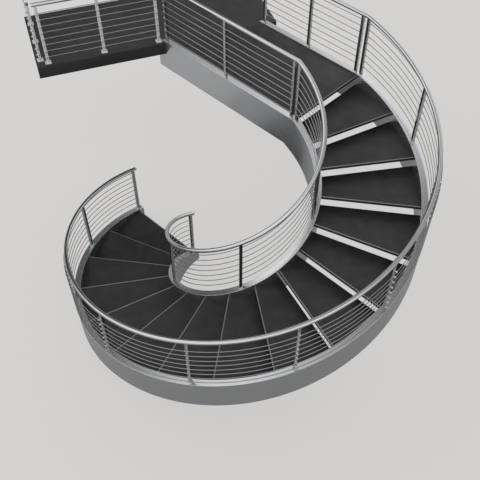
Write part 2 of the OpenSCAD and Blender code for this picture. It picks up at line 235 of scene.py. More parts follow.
class StairPlatform(bpy.types.PropertyGroup):
    """Sizes of the upper platform."""

    skew: angle("Skew", "Angle between the front edge and the landing nosing", 26.4)
    left: length("Left", "Length of the front edge to the left of the landing", 1.835)
    right: length("Right", "Length of the front edge to the right of the landing", 0.120)
    depth: length("Depth", "Depth of the platform", 1.340)
    thickness: length("Thickness", "Thickness of the platform", 0.180)
    front_setback: length("Front setback", "Distance of the front posts behind the front edge",
                          0.080)
    front_start: length("Front start", "Distance of the first front post from the left edge", 0.165)
    front_gap: length("Front gap", "Gap between the last front flange and the landing's stringer",
                      0.0032)
    side_setback: length("Side setback", "Distance of the side posts from the left edge", 0.068)
    side_start: length("Side start", "Distance of the first side post behind the front edge", 0.173)
    side_pitch: length("Side pitch", "Distance between the side posts", 0.470)
    posts: count("Posts", "Posts along the front edge, and along the left edge", 3)
    flange: length("Flange", "Side of a square base flange", 0.086)
    flange_thickness: length("Flange thickness", "Thickness of a base flange", 0.008)
    overhang: length("Overhang", "Length of handrail past an end post's centre", 0.045)


class StairFoot(bpy.types.PropertyGroup):
    """Sizes of the anchors in the foot plate."""

    inset: length("Inset", "Distance of each anchor circle from the treads' ends", 0.130)
    circle: length("Circle", "Radius of each anchor circle", 0.070)
    count: count("Anchors", "Anchors on each circle", 4)
    washer_radius: length("Washer", "Radius of a washer", 0.015)
    washer_height: length("Washer height", "Thickness of a washer", 0.003)
    washer_edge: length("Washer edge", "Rounding of a washer's edges", 0.0005)
    nut_radius: length("Nut", "Radius of a nut, over its corners", 0.0139)
    nut_height: length("Nut height", "Height of a nut", 0.013)
    nut_edge: length("Nut edge", "Rounding of a nut's edges", 0.001)
    stud_radius: length("Stud", "Radius of a stud", 0.008)
    stud_height: length("Stud height", "Length of a stud in the scene", 0.036)
    stud_edge: length("Stud edge", "Rounding of a stud's end", 0.0015)
    stud_top: length("Stud top", "Height of a stud's top above the foot plate", 0.030)


class StairFinish(bpy.types.PropertyGroup):
    """Colours of the surfaces."""

    coat: colour("Stringer coat", "Grey metallic coat of the stringers", (0.435, 0.446, 0.463))
    satin: colour("Satin steel", "Handrails and the stair's posts", (0.39, 0.395, 0.40))
    blasted: colour("Blasted steel", "Posts of the platform", (0.50, 0.505, 0.51))
    rod: colour("Rod steel", "Infill rods", (0.235, 0.237, 0.24))
    fixing: colour("Fixings", "Rod holders, bolts and nuts", (0.46, 0.47, 0.48))
    charcoal: colour("Charcoal", "Treads, landing deck and platform", (0.0115, 0.0115, 0.0118))
    strip: colour("Nosing strip", "Strip let into each nosing", (0.175, 0.177, 0.18))
    pale_dust: colour("Pale dust", "Dust on the stringers", (0.45, 0.44, 0.42))
    dark_dust: colour("Dark dust", "Dust on the treads and the platform", (0.20, 0.19, 0.18))


class StairStage(bpy.types.PropertyGroup):
    """Floor, room, lamp and camera."""

    floor: colour("Floor", "Pale floor and background", (0.640, 0.632, 0.619))
    # Painted shade: the floor round the stair shows darker in metal reflections, down to this
    # level.
    reflected_floor_shade: share("Reflected floor", "Brightness of the floor under the stair in metal",
                           0.46)
    shade_centre: spot("Shade centre", "Middle of the floor that shows darker in metal",
                       (1.87, -1.44, 0.0))
    shade_core: length("Shade core", "Radius of the evenly darker floor", 2.9)
    shade_rim: length("Shade rim", "Radius at which the darker floor ends", 5.0)
    dark_side: angle("Dark side", "Plan direction of the room's dark patch", 112)
    dark_up: angle("Dark height", "Height of the dark patch's middle", 0)
    dark_core: angle("Dark core", "Half of the angle over which the dark patch is even", 34)
    dark_rim: angle("Dark rim", "Half of the angle at which the dark patch ends", 48.5)
    dark_level: share("Dark level", "Brightness of the dark patch, as a part of the room's", 0.09)
    dim_side: angle("Dim side", "Plan direction of the room's dim patch", -5)
    dim_up: angle("Dim height", "Height of the dim patch's middle", 30)
    dim_core: angle("Dim core", "Half of the angle over which the dim patch is even", 20)
    dim_rim: angle("Dim rim", "Half of the angle at which the dim patch ends", 45)
    dim_level: share("Dim level", "Brightness of the dim patch, as a part of the room's", 0.38)
    top_side: angle("Top side", "Plan direction to which the patch overhead leans", 130)
    top_up: angle("Top height", "Height of the middle of the patch overhead", 85)
    top_core: angle("Top core", "Half of the angle over which the patch overhead is even", 2)
    top_rim: angle("Top rim", "Half of the angle at which the patch overhead ends", 34.4)
    top_level: share("Top level", "Brightness overhead, as a part of the room's", 0.12)
    room_level: share("Room level", "Brightness of the room, where 1 shows white", 1.65)
    floor_size: length("Floor size", "Side of the square floor", 400.0)
    floor_glow: share("Floor glow", "Part of the floor's brightness that no shadow darkens", 0.85)
    lamp: spot("Lamp", "Place of the key lamp", (-6.0, 2.0, 8.5))
    lamp_target: spot("Lamp target", "Place that the key lamp faces", (1.4, -0.9, 1.5))
    lamp_size: length("Lamp size", "Side of the square key lamp", 5.0)
    lamp_power: bpy.props.FloatProperty(
        name="Lamp power", description="Power of the key lamp", default=110.0, min=0.0,
        unit="POWER")
    camera: spot("Camera", "Place of the camera", (1.3715, -7.2163, 8.7351))
    pitch: angle("Pitch", "Angle of the camera's view below level", 49.885)
    roll: angle("Roll", "Turn of the camera about its view", 0.15)
    lens: bpy.props.FloatProperty(
        name="Lens", description="Focal length on a sensor 36 mm wide", default=52.53, min=10.0,
        unit="CAMERA")


class StairSettings(bpy.types.PropertyGroup):
    """All sizes and colours of the stair."""

    flight: bpy.props.PointerProperty(type=StairFlight)
    stringers: bpy.props.PointerProperty(type=StairStringers)
    treads: bpy.props.PointerProperty(type=StairTreads)
    rails: bpy.props.PointerProperty(type=StairRails)
    posts: bpy.props.PointerProperty(type=StairPosts)
    landing: bpy.props.PointerProperty(type=StairLanding)
    platform: bpy.props.PointerProperty(type=StairPlatform)
    foot: bpy.props.PointerProperty(type=StairFoot)
    finish: bpy.props.PointerProperty(type=StairFinish)
    stage: bpy.props.PointerProperty(type=StairStage)


class Layout:
    """Lines and places of the stair, worked out from its sizes."""

    def __init__(self, stair):
        self.stair = stair
        flight = stair.flight
        width = stair.stringers.width
        self.inner_line = flight.inner_radius - width / 2
        self.outer_line = flight.outer_radius + width / 2
        self.inner_face = flight.inner_radius - width
        self.outer_face = flight.outer_radius + width
        self.landing_top = (flight.tread_count + 1) * flight.riser
        self.stringer_top = self.landing_top + stair.stringers.rise
        self.post_height = stair.rails.rail_height - stair.stringers.rise
        self.rail_top = self.landing_top + stair.rails.rail_height
        self.near = flight.inner_radius + stair.treads.gap
        self.away = flight.outer_radius - stair.treads.gap
        self.middle = (self.near + self.away) / 2

    def slope(self, radius):
        """Slope of the flight at a radius."""
        return math.atan(self.stair.flight.riser / (radius * self.stair.flight.tread_turn))

    def treads(self, arc, radius):
        """Length along the flight, counted in treads, of an arc at a radius."""
        return arc / radius / self.stair.flight.tread_turn

    def line(self, side):
        """Distance of a row of posts from the stair's axis."""
        return {"inner": self.inner_line, "outer": self.outer_line}[side]

    def rod_line(self, side):
        """Distance of a row of rods from the stair's axis."""
        return self.line(side) + SIDES[side] * getattr(self.stair.rails, f"{side}_offset")

    def rod_levels(self, side=None):
        """Heights of the rods above a stringer, from the top one down. A side means its flight."""
        rails = self.stair.rails
        number, pitch = rails.rod_count, rails.rod_pitch
        if side == "inner":
            number, pitch = rails.inner_rod_count, rails.inner_rod_pitch
        return [rails.top_rod - k * pitch for k in range(number)]

    def platform_levels(self):
        """Heights of the rods above the platform, from the top one down."""
        rails = self.stair.rails
        return [rails.top_platform_rod - k * rails.rod_pitch for k in range(rails.rod_count)]

    def post_places(self, side):
        """Places of the flight's posts, counted in treads from the first nosing."""
        posts = self.stair.posts
        first = self.treads(getattr(posts, f"{side}_first"), self.line(side))
        before = self.treads(getattr(posts, f"{side}_last"), self.line(side))
        last = self.stair.flight.tread_count - before
        bays = getattr(posts, f"{side}_bays")
        return [first + (last - first) * i / bays for i in range(bays + 1)]

    def landing_end(self, across):
        """Distance from the landing nosing to the platform."""
        shorter = (across - self.inner_face) * math.tan(self.stair.platform.skew)
        return self.stair.landing.run - shorter

    def landing_places(self, side):
        """Places of the landing's posts, measured from the landing nosing."""
        first = getattr(self.stair.landing, f"{side}_post")
        last = self.landing_end(self.line(side)) + self.stair.landing.last_post
        return [first, (first + last) / 2, last]

    def front_places(self):
        """Places of the platform's front posts along its front edge."""
        platform = self.stair.platform
        first = platform.front_start - platform.left
        last = (-self.stair.landing.reach * math.tan(platform.skew) - platform.front_gap
                - platform.flange / 2)
        return [first + (last - first) * i / (platform.posts - 1) for i in range(platform.posts)]

    def foot_turn(self):
        """Plan direction of the foot plate from the stair's axis."""
        flight = self.stair.flight
        return flight.first_nosing + flight.foot_place * flight.tread_turn

    def foot_direction(self):
        """The same direction as a vector."""
        return Vector((math.cos(self.foot_turn()), math.sin(self.foot_turn()), 0.0))

    def at_landing(self, across=0.0, along=0.0, height=0.0):
        """Frame with X away from the stair's axis, Y along the landing and Z up from the floor."""
        flight = self.stair.flight
        axis = (flight.inner_radius + flight.outer_radius) / 2 * -self.foot_direction()
        turn = flight.first_nosing + flight.tread_count * flight.tread_turn
        return (Matrix.Translation(axis) @ Matrix.Rotation(turn, 4, "Z")
                @ Matrix.Translation((across, along, height)))

    def at_flight(self, place, radius=0.0, height=0.0):
        """Frame at a place along the flight, with its origin above the line of the nosings."""
        below = place - self.stair.flight.tread_count
        level = (place + 1) * self.stair.flight.riser
        return (self.at_landing() @ Matrix.Rotation(below * self.stair.flight.tread_turn, 4, "Z")
                @ Matrix.Translation((radius, 0.0, level + height)))

    def platform_rows(self):
        """Frames at the posts of the platform's two rows, with Y along the row."""
        platform = self.stair.platform
        turned = Matrix.Rotation(-QUARTER, 4, "Z")
        front = [self.at_platform(along, platform.front_setback, self.landing_top) @ turned
                 for along in self.front_places()]
        side = [self.at_platform(platform.side_setback - platform.left,
                                 platform.side_start + i * platform.side_pitch, self.landing_top)
                for i in range(platform.posts)]
        return {"front": front, "side": side}

    def at_platform(self, along=0.0, behind=0.0, height=0.0):
        """Frame with X along the platform's front edge and Y into the platform."""
        return (self.at_landing(self.inner_face, self.stair.landing.run)
                @ Matrix.Rotation(-self.stair.platform.skew, 4, "Z")
                @ Matrix.Translation((along, behind, height)))


def leave_edit():
    """Goes back to object mode."""
    bpy.ops.object.mode_set(mode="OBJECT")


def select_only(*objects):
    """Selects these objects alone, in object mode, with the first one active."""
    if bpy.context.mode != "OBJECT":
        leave_edit()
    bpy.ops.object.select_all(action="DESELECT")
    for obj in objects:
        obj.select_set(True)
    if objects:
        bpy.context.view_layer.objects.active = objects[0]


def settle(obj, matrix=None):
    """Puts an object's place, turn and scale into its mesh, after moving it by a frame."""
    select_only(obj)
    if matrix is not None:
        obj.matrix_world = matrix @ obj.matrix_world
    bpy.ops.object.transform_apply(location=True, rotation=True, scale=True)
    return obj


def new_box(centre, size):
    """A box that is the start of a piece."""
    select_only()
    bpy.ops.mesh.primitive_cube_add(size=1, location=centre)
    obj = bpy.context.active_object
    obj.scale = size
    return settle(obj)


def new_section(centre, width, height):
    """The open outline of an upright section, across the flight, that a sweep starts from."""
    obj = new_box(centre, (width, EPS, height))
    pick(obj, "FACE", lambda face: face.normal.y < FACING)
    bpy.ops.mesh.delete(type="FACE")
    pick_all(obj)
    bpy.ops.mesh.delete(type="ONLY_FACE")
    return settle(obj, Matrix.Translation((0, -EPS / 2, 0)))


def new_ring(sides, radius, centre, lean=0.0, stretch=1.0):
    """An open ring in the XZ plane, leaning back towards -Y, stretched along its upright."""
    select_only()
    bpy.ops.mesh.primitive_circle_add(
        vertices=sides, radius=radius, location=centre, rotation=(QUARTER + lean, 0, 0))
    obj = bpy.context.active_object
    obj.scale = (1, stretch, 1)
    return settle(obj)


def new_disc(sides, radius, depth, centre, turn=(0, 0, 0)):
    """A short cylinder that is the start of a bolt, a holder or a collar."""
    select_only()
    bpy.ops.mesh.primitive_cylinder_add(
        vertices=sides, radius=radius, depth=depth, location=centre, rotation=turn)
    return settle(bpy.context.active_object)


def pick(obj, kind, test):
    """Selects the points, edges or faces that pass a test, and stays in edit mode."""
    select_only(obj)
    bpy.ops.object.mode_set(mode="EDIT")
    bpy.ops.mesh.select_mode(type=kind)
    bpy.ops.mesh.select_all(action="DESELECT")
    leave_edit()
    mesh = obj.data
    items = {"VERT": mesh.vertices, "EDGE": mesh.edges, "FACE": mesh.polygons}[kind]
    chosen = [item for item in items if test(item)]
    if not chosen:
        raise RuntimeError(f"nothing to select on {obj.name}")
    for item in chosen:
        item.select = True
    bpy.ops.object.mode_set(mode="EDIT")


def pick_all(obj):
    """Selects a whole mesh and stays in edit mode."""
    select_only(obj)
    bpy.ops.object.mode_set(mode="EDIT")
    bpy.ops.mesh.select_all(action="SELECT")


def pick_facing(obj, direction):
    """Selects the faces that face a direction, and stays in edit mode."""
    towards = Vector(direction)
    pick(obj, "FACE", lambda face: face.normal.dot(towards) > FACING)


def round_uprights(obj, width):
    """Rounds the upright edges of a box, and stays in edit mode."""
    def is_upright(edge):
        a, b = (obj.data.vertices[i].co for i in edge.vertices)
        return (b - a).xy.length < EPS

    pick(obj, "EDGE", is_upright)
    bpy.ops.mesh.bevel(offset=width, segments=3)


def extrude(shift):
    """Extrudes what is selected."""
    bpy.ops.mesh.extrude_region_move(TRANSFORM_OT_translate={"value": shift})


def cut(point, normal, fill=True):
    """Cuts what is selected by a plane and clears what lies beyond it."""
    bpy.ops.mesh.bisect(
        plane_co=point, plane_no=normal, use_fill=fill, clear_outer=True, clear_inner=False)


def modify(obj, kind, **settings):
    """Adds a modifier and applies it."""
    select_only(obj)
    bpy.ops.object.modifier_add(type=kind)
    modifier = obj.modifiers[-1]
    for name, value in settings.items():
        setattr(modifier, name, value)
    bpy.ops.object.modifier_apply(modifier=modifier.name)
    return obj


def carve(obj, cutter):
    """Takes a cutter's shape out of a piece, and clears the cutter away."""
    modify(obj, "BOOLEAN", operation="DIFFERENCE", object=cutter, solver="EXACT")
    bpy.data.objects.remove(cutter)


def facets(turn, size):
    """Number of facets in a turn, each of about a size in degrees."""
    return round(math.degrees(turn) / size)


def sweep(obj, turn, rise, steps):
    """Sweeps a section round the Z axis."""
    modify(obj, "SCREW", axis="Z", angle=turn, screw_offset=rise, steps=steps, render_steps=steps,
           use_smooth_shade=True)


def stack(obj, number, step):
    """Repeats a mesh in a row."""
    modify(obj, "ARRAY", count=number, use_relative_offset=False, use_constant_offset=True,
           constant_offset_displace=step)


def round_edges(obj, width, segments=2, limit=40):
    """Rounds the edges that are sharper than a limit in degrees."""
    return modify(obj, "BEVEL", width=width, segments=segments, limit_method="ANGLE",
                  angle_limit=math.radians(limit), use_clamp_overlap=True)


def turn_outwards(obj):
    """Turns the faces of a closed mesh outwards."""
    pick_all(obj)
    bpy.ops.mesh.normals_make_consistent(inside=False)
    leave_edit()
    return obj


def close(obj):
    """Closes the open ends of a mesh and turns its faces outwards."""
    pick_all(obj)
    bpy.ops.mesh.remove_doubles(threshold=EPS / 10)
    bpy.ops.mesh.fill_holes(sides=0)
    turn_outwards(obj)


def finish_tube(tube, radius):
    """Closes a tube and rounds the rims of its ends."""
    close(tube)
    round_edges(tube, radius * TUBE_EASE, limit=60)


def smooth(obj, degrees=24):
    """Shades a piece smooth up to an angle."""
    select_only(obj)
    bpy.ops.object.shade_smooth_by_angle(angle=math.radians(degrees))
    return obj


def join(name, objects):
    """Joins objects to one piece."""
    select_only(*objects)
    if len(objects) > 1:
        bpy.ops.object.join()
    joined = bpy.context.view_layer.objects.active
    joined.name = name
    return joined


def copy_at(obj, matrix):
    """A copy with its own mesh, moved by a frame."""
    twin = obj.copy()
    twin.data = obj.data.copy()
    bpy.context.scene.collection.objects.link(twin)
    return settle(twin, matrix)


def row(name, obj, matrices):
    """Copies of one modelled piece at each frame, joined. The first model is cleared away."""
    twins = [copy_at(obj, matrix) for matrix in matrices]
    bpy.data.objects.remove(obj)
    return join(name, twins)


def mark_grain(obj, place):
    """Stores where each point lies along the piece and across it, for a grain that follows it."""
    attribute = obj.data.attributes.new("grain", "FLOAT_VECTOR", "POINT")
    values = [part for v in obj.data.vertices for part in place(v.co)]
    attribute.data.foreach_set("vector", values)
    return obj


def mark_straight_grain(obj):
    """Stores the grain of a tube or a rod along Y."""
    return mark_grain(obj, lambda point: (point.y, point.x, point.z))


def dress(obj, surface):
    """Gives a part its surface."""
    obj.data.materials.clear()
    obj.data.materials.append(surface)
    return obj


def hand_over(obj, name, nodes=()):
    """Names a finished piece and ties it to the construction model."""
    obj.name = name
    obj.data.name = name
    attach(obj, "root")
    if nodes:
        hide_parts(*nodes)


def shared(kind, name):
    """Makes a group or a surface once, under its name, and hands out the same one afterwards."""
    def wrap(make):
        @functools.wraps(make)
        def fetch(*values):
            return getattr(bpy.data, kind).get(name) or make(name, *values)
        return fetch
    return wrap


def add_node(tree, kind, **settings):
    """Adds a node with its settings."""
    node = tree.nodes.new(kind)
    for name, value in settings.items():
        setattr(node, name, value)
    return node


def connect(tree, value, socket):
    """Links a socket, or sets a plain value."""
    if isinstance(value, bpy.types.NodeSocket):
        tree.links.new(value, socket)
    else:
        socket.default_value = value


def connect_all(tree, values, sockets):
    """Links or sets several sockets in their order."""
    for value, socket in zip(values, sockets):
        connect(tree, value, socket)


def add_mix(tree, factor, first, second):
    """Mixes two colours by a factor, each of which is a socket or a value."""
    node = add_node(tree, "ShaderNodeMix", data_type="RGBA")
    connect_all(tree, (factor, first, second), (node.inputs[0], node.inputs[6], node.inputs[7]))
    return node.outputs[2]


def add_range(tree, value, low, high, to_low, to_high):
    """Maps a value from one range to another."""
    node = add_node(tree, "ShaderNodeMapRange")
    connect_all(tree, (value, low, high, to_low, to_high), node.inputs)
    return node.outputs[0]


def add_math(tree, operation, first, second):
    """Works out one number from two."""
    node = add_node(tree, "ShaderNodeMath", operation=operation)
    connect_all(tree, (first, second), node.inputs)
    return node.outputs[0]


def add_measure(tree, operation, first, second):
    """Works out one number from two directions or places."""
    node = add_node(tree, "ShaderNodeVectorMath", operation=operation)
    connect_all(tree, (first, second), node.inputs)
    return node.outputs["Value"]


def add_noise(tree, vector, scale, detail):
    """Noise at a place on the piece."""
    node = add_node(tree, "ShaderNodeTexNoise")
    for name, value in (("Vector", vector), ("Scale", scale), ("Detail", detail)):
        connect(tree, value, node.inputs[name])
    return node.outputs["Fac"]


def new_group(name, inputs, outputs):
    """A node group with its place and its numbers as inputs, and its input and output nodes."""
    tree = bpy.data.node_groups.new(name, "ShaderNodeTree")
    tree.interface.new_socket("Vector", in_out="INPUT", socket_type="NodeSocketVector")
    for title, default in inputs.items():
        socket = tree.interface.new_socket(title, in_out="INPUT", socket_type="NodeSocketFloat")
        socket.default_value = default
    for title in outputs:
        tree.interface.new_socket(title, in_out="OUTPUT", socket_type="NodeSocketFloat")
    return tree, add_node(tree, "NodeGroupInput").outputs, add_node(tree, "NodeGroupOutput").inputs


@shared("node_groups", "Fine grain")
def fine_grain_group(name):
    """Fine and broad mottling: a height for bump and a mask for slow changes of colour."""
    tree, given, result = new_group(name, {"Fine scale": 600.0, "Broad scale": 3.0},
                                    ("Height", "Mottle"))
    for scale, detail, output in (("Fine scale", 2.0, "Height"), ("Broad scale", 4.0, "Mottle")):
        connect(tree, add_noise(tree, given["Vector"], given[scale], detail), result[output])
    return tree


# Painted highlight: sharp edges are made lighter, partly as rubbed wear and partly as an edge
# highlight.
@shared("node_groups", "Edge wear")
def edge_wear_and_highlight_group(name):
    """Mask of the sharp edges, broken up by noise, where a finish rubs thin and where a painted
    highlight lightens the edge.
    """
    tree, given, result = new_group(name, {"Radius": 0.003, "Amount": 0.5}, ("Mask",))
    rounded = add_node(tree, "ShaderNodeBevel", samples=4)
    connect(tree, given["Radius"], rounded.inputs["Radius"])
    surface = add_node(tree, "ShaderNodeNewGeometry")
    bend = add_measure(tree, "DOT_PRODUCT", rounded.outputs["Normal"], surface.outputs["Normal"])
    edge = add_range(tree, bend, 0.99, 0.82, 0.0, 1.0)
    broken = add_range(tree, add_noise(tree, given["Vector"], 60.0, 5.0), 0.42, 0.62, 0.0, 1.0)
    worn_and_lit = add_math(tree, "MULTIPLY", edge, broken)
    connect(tree, add_math(tree, "MULTIPLY", worn_and_lit, given["Amount"]), result["Mask"])
    return tree


@shared("node_groups", "Settled dust")
def dust_group(name):
    """Mask of fine dust that lies on surfaces that face up."""
    tree, given, result = new_group(name, {"Amount": 0.1}, ("Mask",))
    split = add_node(tree, "ShaderNodeSeparateXYZ")
    connect(tree, add_node(tree, "ShaderNodeNewGeometry").outputs["Normal"], split.inputs[0])
    facing = add_range(tree, split.outputs[2], 0.55, 0.95, 0.0, 1.0)
    patches = add_range(tree, add_noise(tree, given["Vector"], 7.0, 8.0), 0.35, 0.7, 0.0, 1.0)
    lying = add_math(tree, "MULTIPLY", facing, patches)
    connect(tree, add_math(tree, "MULTIPLY", lying, given["Amount"]), result["Mask"])
    return tree


def use_group(tree, group, vector, **values):
    """Places a shared effect in a surface with its own values."""
    node = add_node(tree, "ShaderNodeGroup", node_tree=group)
    connect(tree, vector, node.inputs["Vector"])
    for name, value in values.items():
        node.inputs[name.replace("_", " ").capitalize()].default_value = value
    return node.outputs


def new_surface(name):
    """A surface with its shader and the position on the piece."""
    surface = bpy.data.materials.new(name)
    surface.use_nodes = True
    tree = surface.node_tree
    place = add_node(tree, "ShaderNodeTexCoord").outputs["Object"]
    return surface, tree, tree.nodes["Principled BSDF"].inputs, place


def solid(rgb, factor=1.0):
    """A colour with full alpha, made lighter or darker by a factor."""
    return tuple(min(1.0, part * factor) for part in rgb) + (1.0,)


def add_tint(tree, mask, rgb, low, high):
    """A colour that a mask makes darker and lighter."""
    return add_mix(tree, mask, solid(rgb, low), solid(rgb, high))


def add_drift(tree, noise, low, high):
    """A value that drifts between two levels with a noise."""
    return add_range(tree, noise, 0.3, 0.7, low, high)


def add_wear_and_highlight(tree, place, base, bright, radius, amount):
    """Makes a colour brighter along the edges: rubbed wear, together with a painted edge highlight.
    """
    wear = use_group(tree, edge_wear_and_highlight_group(), place, radius=radius, amount=amount)
    return add_mix(tree, wear["Mask"], base, bright)


def add_dust(tree, place, base, dust, amount):
    """Lays dust on a colour."""
    lying = use_group(tree, dust_group(), place, amount=amount)
    return add_mix(tree, lying["Mask"], base, solid(dust))


def complete(tree, shader, base, roughness, metallic, height, strength, distance):
    """Feeds a colour, a roughness and a height for bump to the shader."""
    connect(tree, base, shader["Base Color"])
    connect(tree, roughness, shader["Roughness"])
    shader["Metallic"].default_value = metallic
    bump = add_node(tree, "ShaderNodeBump")
    for name, value in (("Strength", strength), ("Distance", distance), ("Height", height)):
        connect(tree, value, bump.inputs[name])
    connect(tree, bump.outputs["Normal"], shader["Normal"])


@shared("materials", "Stringer coat")
def coat_surface(name, finish):
    """Grey metallic coat: fine texture, slow mottling, edges made lighter by rubbed wear and a
    painted highlight, and a little dust.
    """
    surface, tree, shader, place = new_surface(name)
    grain = use_group(tree, fine_grain_group(), place, fine_scale=900.0, broad_scale=2.2)
    base = add_tint(tree, grain["Mottle"], finish.coat, 0.96, 1.04)
    # Edges painted lighter: rubbed wear and a painted edge highlight.
    base = add_wear_and_highlight(tree, place, base, solid(finish.coat, 1.5), 0.004, 0.25)
    base = add_dust(tree, place, base, finish.pale_dust, 0.06)
    roughness = add_drift(tree, grain["Mottle"], 0.22, 0.28)
    complete(tree, shader, base, roughness, 0.95, grain["Height"], 0.08, 0.0006)
    return surface


def brushed_surface(name, rgb, metallic, gloss):
    """Steel, brushed along the piece, with faint marks of hands."""
    surface, tree, shader, place = new_surface(name)
    along = add_node(tree, "ShaderNodeAttribute", attribute_name="grain")
    stretch = add_node(tree, "ShaderNodeMapping")
    stretch.inputs["Scale"].default_value = (6.0, 900.0, 900.0)
    connect(tree, along.outputs["Vector"], stretch.inputs["Vector"])
    brushed = use_group(tree, fine_grain_group(), stretch.outputs["Vector"],
                        fine_scale=1.0, broad_scale=0.12)
    marks = use_group(tree, fine_grain_group(), place, fine_scale=40.0, broad_scale=5.0)
    base = add_tint(tree, brushed["Height"], rgb, 0.95, 1.05)
    lines = add_drift(tree, brushed["Height"], -0.03, 0.03)
    smudge = add_range(tree, marks["Mottle"], 0.35, 0.7, gloss, gloss + 0.06)
    roughness = add_math(tree, "ADD", lines, smudge)
    complete(tree, shader, base, roughness, metallic, brushed["Height"], 0.05, 0.0004)
    return surface


@shared("materials", "Satin steel")
def satin_surface(name, finish):
    """Satin steel of the handrails and the stair's posts."""
    return brushed_surface(name, finish.satin, 1.0, 0.10)


@shared("materials", "Blasted steel")
def blasted_surface(name, finish):
    """Pale blasted steel of the platform's posts."""
    return brushed_surface(name, finish.blasted, 0.35, 0.40)


@shared("materials", "Rod steel")
def rod_surface(name, finish):
    """Darker drawn steel of the rods."""
    return brushed_surface(name, finish.rod, 0.9, 0.14)


@shared("materials", "Bright fixings")
def fixing_surface(name, finish):
    """Turned bright steel of the holders, bolts and nuts."""
    surface, tree, shader, place = new_surface(name)
    grain = use_group(tree, fine_grain_group(), place, fine_scale=700.0, broad_scale=25.0)
    base = add_tint(tree, grain["Mottle"], finish.fixing, 0.9, 1.05)
    roughness = add_drift(tree, grain["Height"], 0.18, 0.28)
    complete(tree, shader, base, roughness, 1.0, grain["Height"], 0.04, 0.0003)
    return surface


@shared("materials", "Charcoal floor coat")
def charcoal_surface(name, finish):
    """Charcoal floor coat with fine grit, faint scuffs, and edges made lighter by rubbed wear and a
    painted highlight.
    """
    surface, tree, shader, place = new_surface(name)
    grain = use_group(tree, fine_grain_group(), place, fine_scale=420.0, broad_scale=2.6)
    grit = add_node(tree, "ShaderNodeTexVoronoi")
    grit.inputs["Scale"].default_value = 520.0
    connect(tree, place, grit.inputs["Vector"])
    speck = add_range(tree, grit.outputs["Distance"], 0.16, 0.28, 1.0, 0.0)
    base = add_tint(tree, grain["Mottle"], finish.charcoal, 0.9, 1.12)
    base = add_mix(tree, add_math(tree, "MULTIPLY", speck, 0.35), base, solid(finish.charcoal, 2.6))
    # Edges painted lighter: rubbed wear and a painted edge highlight.
    base = add_wear_and_highlight(tree, place, base, solid(finish.charcoal, 3.0), 0.003, 0.35)
    base = add_dust(tree, place, base, finish.dark_dust, 0.05)
    roughness = add_drift(tree, grain["Mottle"], 0.46, 0.56)
    height = add_math(tree, "ADD", grain["Height"], add_math(tree, "MULTIPLY", speck, 0.8))
    shader["Specular IOR Level"].default_value = 0.3
    complete(tree, shader, base, roughness, 0.0, height, 0.16, 0.0008)
    return surface


@shared("materials", "Nosing strip")
def strip_surface(name, finish):
    """Grey metal strip let into the nosings, dulled by use, with edges made lighter by rubbed wear
    and a painted highlight.
    """
    surface, tree, shader, place = new_surface(name)
    grain = use_group(tree, fine_grain_group(), place, fine_scale=650.0, broad_scale=9.0)
    base = add_tint(tree, grain["Mottle"], finish.strip, 0.85, 1.1)
    # Edges painted lighter: rubbed wear and a painted edge highlight.
    base = add_wear_and_highlight(tree, place, base, solid(finish.strip, 1.8), 0.001, 0.5)
    roughness = add_drift(tree, grain["Mottle"], 0.30, 0.40)
    complete(tree, shader, base, roughness, 0.9, grain["Height"], 0.1, 0.0004)
    return surface


def along_flight(layout, radius, level):
    """Place along and across a swept piece, in the landing's frame."""
    turn = layout.stair.flight.tread_turn
    riser = layout.stair.flight.riser

    def place(point):
        if point.y > 0 and abs(point.z - level) < riser:
            return (point.y, point.x - radius, point.z - level)
        around = math.atan2(point.y, point.x)
        if around > 0:
            around -= 2 * math.pi
        return (radius * around, math.hypot(point.x, point.y) - radius,
                point.z - level - around / turn * riser)
    return place


def build_stringer(layout, side):
    """A curved stringer with its straight landing part, cut level at the floor."""
    stair = layout.stair
    width = stair.stringers.width
    line = layout.line(side)
    near = line - width / 2
    slope = layout.slope(line)
    drop = stair.stringers.depth / math.cos(slope)
    lead = getattr(stair.stringers, f"{side}_lead")
    places = stair.flight.tread_count + layout.treads(lead, line)
    top = layout.stringer_top
    obj = new_section((line, 0, top - drop / 2), width, drop)
    turn = places * stair.flight.tread_turn
    sweep(obj, -turn, -places * stair.flight.riser, facets(turn, STRINGER_FACET))
    close(obj)
    pick_all(obj)
    cut((0, 0, 0), (0, 0, -1))
    reach = layout.landing_end(near) + stair.landing.reach + stair.landing.seat + width
    mitre = stair.stringers.depth * math.tan(slope / 2)
    pick(obj, "FACE", lambda face: face.normal.y > FACING and abs(face.center.y) < EPS)
    extrude((0, mitre, 0))
    leave_edit()
    at_mitre = [v for v in obj.data.vertices if v.select]
    low = min(v.co.z for v in at_mitre)
    pick(obj, "VERT",
         lambda v: abs(v.co.y - mitre) < EPS and abs(v.co.z - low) < EPS and v.co.x > 0)
    bpy.ops.transform.translate(value=(0, 0, drop - stair.stringers.depth))
    pick(obj, "FACE", lambda face: face.normal.y > FACING and abs(face.center.y - mitre) < EPS)
    extrude((0, reach, 0))
    notch_for_platform(layout, obj)
    close(obj)
    round_edges(obj, stair.stringers.edge)
    return smooth(settle(obj, layout.at_landing()), degrees=20)


def notch_for_platform(layout, obj):
    """Cuts a landing stringer in the platform's pocket and under the platform."""
    landing = layout.stair.landing
    to_landing = layout.at_landing().inverted()
    size = 2 * landing.run
    underside = layout.landing_top - layout.stair.platform.thickness
    for behind, low, high in ((landing.reach, underside, underside + size),
                              (landing.reach + landing.seat, -size, underside + size)):
        cutter = new_box((0, size / 2, (low + high) / 2), (2 * size, size, high - low))
        settle(cutter, to_landing @ layout.at_platform(0, behind, 0))
        carve(obj, cutter)


